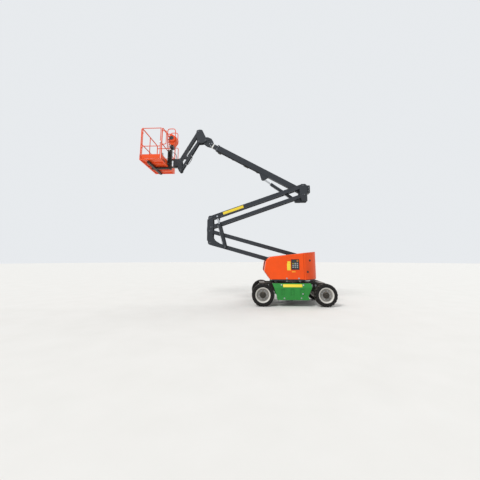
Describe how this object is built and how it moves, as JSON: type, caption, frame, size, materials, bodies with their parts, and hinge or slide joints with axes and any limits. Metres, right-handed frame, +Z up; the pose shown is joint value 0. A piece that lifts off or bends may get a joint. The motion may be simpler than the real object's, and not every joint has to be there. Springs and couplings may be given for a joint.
{
  "type": "articulating boom lift",
  "caption": "Self-propelled articulating boom lift with folding twin risers, telescopic boom, jib and rotating railed platform, shown raised.",
  "frame": {"origin": "on the ground under the slewing axis, midway between the axles", "axes": "+X forward to the platform, +Y to the machine's left, +Z up"},
  "size_m": [6.6637, 1.75, 6.4233],
  "materials": {
    "orange_paint": "gloss",
    "platform_paint": "gloss",
    "green_paint": "gloss",
    "grey_paint": "satin",
    "black_paint": "satin",
    "rim_paint": "satin",
    "hose": "matte",
    "tyre": "matte",
    "rod_chrome": "polished",
    "cast_counterweight": "gloss",
    "zinc": "satin",
    "hood_shell": "gloss",
    "black_plastic": "matte"
  },
  "bodies": {
    "chassis": {"chassis_frame": "black_paint", "side_covers": "green_paint", "lashing_eyes": "zinc", "front_axle": "black_paint", "rear_axle": "black_paint", "slew_ring": "zinc"},
    "steering_left": {"steer_knuckle_left": "grey_paint"},
    "steering_right": {"steer_knuckle_right": "grey_paint"},
    "tie_rod": {"tie_rod": "zinc"},
    "wheel_front_left": {"tyre_front_left": "tyre", "rim_front_left": "rim_paint"},
    "wheel_front_right": {"tyre_front_right": "tyre", "rim_front_right": "rim_paint"},
    "wheel_rear_left": {"tyre_rear_left": "tyre", "rim_rear_left": "rim_paint"},
    "wheel_rear_right": {"tyre_rear_right": "tyre", "rim_rear_right": "rim_paint"},
    "turntable": {"turntable_frame": "black_paint", "counterweight": "cast_counterweight", "ground_control_panel": "black_plastic", "battery_packs": "black_plastic"},
    "hood_left": {"hood_left": "hood_shell"},
    "hood_right": {"hood_right": "hood_shell"},
    "lower_arm": {"lower_riser_arm": "grey_paint"},
    "lower_link": {"lower_riser_link": "grey_paint"},
    "riser_barrel": {"riser_cylinder_barrel": "grey_paint"},
    "riser_rod": {"riser_cylinder_rod": "rod_chrome"},
    "knuckle": {"mid_knuckle": "grey_paint"},
    "upper_arm": {"upper_riser_arm": "grey_paint"},
    "upper_link": {"upper_riser_link": "grey_paint"},
    "knuckle_barrels": {"knuckle_cylinder_barrel": "grey_paint"},
    "knuckle_rods": {"knuckle_cylinder_rod": "rod_chrome"},
    "upright": {"upright": "grey_paint", "upright_box": "black_plastic"},
    "boom": {"main_boom": "grey_paint"},
    "lift_barrel": {"lift_cylinder_barrel": "grey_paint"},
    "lift_rod": {"lift_cylinder_rod": "rod_chrome"},
    "fly": {"fly_boom": "grey_paint"},
    "bracket": {"jib_bracket": "grey_paint"},
    "jib": {"jib_arm": "grey_paint"},
    "jib_link": {"jib_link": "grey_paint", "jib_hose": "hose"},
    "jib_barrel": {"jib_cylinder_barrel": "grey_paint"},
    "jib_rod": {"jib_cylinder_rod": "rod_chrome"},
    "mount": {"platform_mount": "grey_paint"},
    "platform": {"platform_support": "grey_paint", "platform_floor": "platform_paint", "platform_rails": "platform_paint", "control_console": "black_plastic", "platform_hose": "hose"},
    "gate": {"platform_gate": "platform_paint"}
  },
  "joints": [
    {"name": "slew", "type": "hinge", "parent": "chassis", "child": "turntable", "pos_m": [0, 0, 0.78], "axis": [0, 0, 1], "range_deg": [-177.5, 177.5]},
    {"name": "steer_left", "type": "hinge", "parent": "chassis", "child": "steering_left", "pos_m": [1, 0.61, 0.355], "axis": [0, 0, 1], "range_deg": [-35, 35]},
    {"name": "steer_right", "type": "hinge", "parent": "chassis", "child": "steering_right", "pos_m": [1, -0.61, 0.355], "axis": [0, 0, 1], "range_deg": [-35, 35]},
    {"name": "tie_rod_slide", "type": "slide", "parent": "chassis", "child": "tie_rod", "axis": [0, -1, 0], "range_m": [-0.09324, 0.09324]},
    {"name": "spin_front_left", "type": "hinge", "parent": "steering_left", "child": "wheel_front_left", "pos_m": [1, 0.75, 0.355], "axis": [0, 1, 0], "continuous": true},
    {"name": "spin_front_right", "type": "hinge", "parent": "steering_right", "child": "wheel_front_right", "pos_m": [1, -0.75, 0.355], "axis": [0, 1, 0], "continuous": true},
    {"name": "spin_rear_left", "type": "hinge", "parent": "chassis", "child": "wheel_rear_left", "pos_m": [-1, 0.75, 0.355], "axis": [0, 1, 0], "continuous": true},
    {"name": "spin_rear_right", "type": "hinge", "parent": "chassis", "child": "wheel_rear_right", "pos_m": [-1, -0.75, 0.355], "axis": [0, 1, 0], "continuous": true},
    {"name": "hood_left_hinge", "type": "hinge", "parent": "turntable", "child": "hood_left", "pos_m": [0.15, 0.345, 1.56], "axis": [1, 0, 0], "range_deg": [0, 60]},
    {"name": "hood_right_hinge", "type": "hinge", "parent": "turntable", "child": "hood_right", "pos_m": [0.15, -0.345, 1.56], "axis": [-1, 0, 0], "range_deg": [0, 60]},
    {"name": "riser_lift", "type": "hinge", "parent": "turntable", "child": "lower_arm", "pos_m": [-0.599, 0, 1.087], "axis": [0, -1, 0], "range_deg": [-15.8, 50]},
    {"name": "lower_link_hinge", "type": "hinge", "parent": "turntable", "child": "lower_link", "pos_m": [-0.584, 0, 1.51], "axis": [0, -1, 0], "range_deg": [-15.85, 50.05]},
    {"name": "knuckle_hinge", "type": "hinge", "parent": "lower_arm", "child": "knuckle", "pos_m": [2.83997, 0, 2.06013], "axis": [0, 1, 0], "range_deg": [-15.85, 50.05]},
    {"name": "upper_arm_hinge", "type": "hinge", "parent": "knuckle", "child": "upper_arm", "pos_m": [2.84997, 0, 2.95213], "axis": [0, 1, 0], "range_deg": [-15.85, 50.05]},
    {"name": "upper_link_hinge", "type": "hinge", "parent": "knuckle", "child": "upper_link", "pos_m": [2.80997, 0, 2.61713], "axis": [0, 1, 0], "range_deg": [-15.85, 50.05]},
    {"name": "upright_hinge", "type": "hinge", "parent": "upper_arm", "child": "upright", "pos_m": [-0.52728, 0, 4.12161], "axis": [0, -1, 0], "range_deg": [-15.85, 50.05]},
    {"name": "riser_barrel_hinge", "type": "hinge", "parent": "turntable", "child": "riser_barrel", "pos_m": [-0.15, 0, 0.93], "axis": [0, -1, 0], "range_deg": [-17.81, 56.25]},
    {"name": "riser_rod_slide", "type": "slide", "parent": "riser_barrel", "child": "riser_rod", "axis": [0.8693, 0, 0.4943], "range_m": [-0.11114, 0.34954]},
    {"name": "knuckle_barrel_hinge", "type": "hinge", "parent": "knuckle", "child": "knuckle_barrels", "pos_m": [2.28997, 0, 1.90013], "axis": [0, -1, 0], "range_deg": [-2.25, 0.75]},
    {"name": "knuckle_rod_slide", "type": "slide", "parent": "knuckle_barrels", "child": "knuckle_rods", "axis": [0.2512, 0, 0.9679], "range_m": [-0.07369, 0.23103]},
    {"name": "boom_lift", "type": "hinge", "parent": "upright", "child": "boom", "pos_m": [-0.49728, 0, 3.92561], "axis": [0, -1, 0], "range_deg": [-26.7, 42.8]},
    {"name": "lift_barrel_hinge", "type": "hinge", "parent": "upright", "child": "lift_barrel", "pos_m": [-0.29728, 0, 3.59011], "axis": [0, -1, 0], "range_deg": [-25.36, 40.62]},
    {"name": "lift_rod_slide", "type": "slide", "parent": "lift_barrel", "child": "lift_rod", "axis": [0.8177, 0, 0.5757], "range_m": [-0.17724, 0.28352]},
    {"name": "fly_extend", "type": "slide", "parent": "boom", "child": "fly", "axis": [0.8729, 0, 0.4879], "range_m": [0, 1.5]},
    {"name": "bracket_hinge", "type": "hinge", "parent": "fly", "child": "bracket", "pos_m": [3.09721, 0, 5.97803], "axis": [0, 1, 0], "range_deg": [-26.75, 42.85]},
    {"name": "jib_lift", "type": "hinge", "parent": "bracket", "child": "jib", "pos_m": [3.38321, 0, 6.33903], "axis": [0, -1, 0], "range_deg": [-8, 122]},
    {"name": "jib_link_hinge", "type": "hinge", "parent": "bracket", "child": "jib_link", "pos_m": [3.35321, 0, 5.93903], "axis": [0, -1, 0], "range_deg": [-8.05, 122.05]},
    {"name": "jib_barrel_hinge", "type": "hinge", "parent": "bracket", "child": "jib_barrel", "pos_m": [3.36321, 0, 6.00903], "axis": [0, -1, 0], "range_deg": [-7.82, 118.51]},
    {"name": "jib_rod_slide", "type": "slide", "parent": "jib_barrel", "child": "jib_rod", "axis": [0.5438, 0, -0.8392], "range_m": [-0.0406, 0.60487]},
    {"name": "mount_hinge", "type": "hinge", "parent": "jib", "child": "mount", "pos_m": [4.04471, 0, 5.19328], "axis": [0, 1, 0], "range_deg": [-8.05, 122.05]},
    {"name": "platform_rotate", "type": "hinge", "parent": "mount", "child": "platform", "pos_m": [4.24971, 0, 5.1], "axis": [0, 0, 1], "range_deg": [-90, 90]},
    {"name": "gate_hinge", "type": "hinge", "parent": "platform", "child": "gate", "pos_m": [5.24571, 0.811, 5.5], "axis": [0, 0, 1], "range_deg": [0, 90]}
  ],
  "couplings": [
    {"joint": "steer_right", "follows": "steer_left", "ratio": 1},
    {"joint": "tie_rod_slide", "follows": "steer_left", "m_per_rad": 0.151},
    {"joint": "lower_link_hinge", "follows": "riser_lift", "ratio": 1},
    {"joint": "knuckle_hinge", "follows": "riser_lift", "ratio": 1},
    {"joint": "upper_arm_hinge", "follows": "riser_lift", "ratio": 1},
    {"joint": "upper_link_hinge", "follows": "riser_lift", "ratio": 1},
    {"joint": "upright_hinge", "follows": "riser_lift", "ratio": 1},
    {"joint": "riser_barrel_hinge", "follows": "riser_lift", "ratio": 1.124},
    {"joint": "riser_rod_slide", "follows": "riser_lift", "m_per_rad": 0.3994},
    {"joint": "knuckle_barrel_hinge", "follows": "riser_lift", "ratio": -0.044},
    {"joint": "knuckle_rod_slide", "follows": "riser_lift", "m_per_rad": 0.2636},
    {"joint": "lift_barrel_hinge", "follows": "boom_lift", "ratio": 0.948},
    {"joint": "lift_rod_slide", "follows": "boom_lift", "m_per_rad": 0.3782},
    {"joint": "bracket_hinge", "follows": "boom_lift", "ratio": 1},
    {"joint": "jib_link_hinge", "follows": "jib_lift", "ratio": 1},
    {"joint": "jib_barrel_hinge", "follows": "jib_lift", "ratio": 0.971},
    {"joint": "jib_rod_slide", "follows": "jib_lift", "m_per_rad": 0.2836},
    {"joint": "mount_hinge", "follows": "jib_lift", "ratio": 1}
  ]
}
